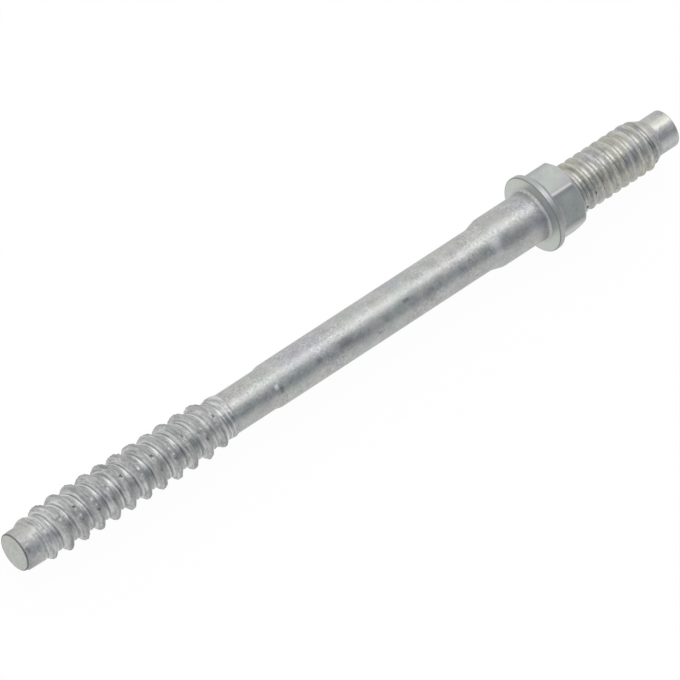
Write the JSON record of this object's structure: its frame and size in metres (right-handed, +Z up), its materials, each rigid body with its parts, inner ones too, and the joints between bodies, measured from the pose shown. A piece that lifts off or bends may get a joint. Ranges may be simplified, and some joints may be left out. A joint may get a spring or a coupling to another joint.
{
  "type": "stud bolt",
  "caption": "Long steel stud bolt: coarse self-tapping thread at one end, stepped shank, hex with washer flange, machine thread with dog point at the other.",
  "frame": {"origin": "centre of the washer flange's bearing face, on the stud's axis", "axes": "+X along the axis towards the machine thread and dog point; the coarse thread points to -X; +Z up, with one flat of the hex upwards"},
  "size_m": [0.0967, 0.0094, 0.0094],
  "materials": {
    "zinc_steel": "satin zinc plating, lightly mottled"
  },
  "bodies": {
    "root": {"stud_bolt": "zinc_steel"}
  },
  "joints": []
}
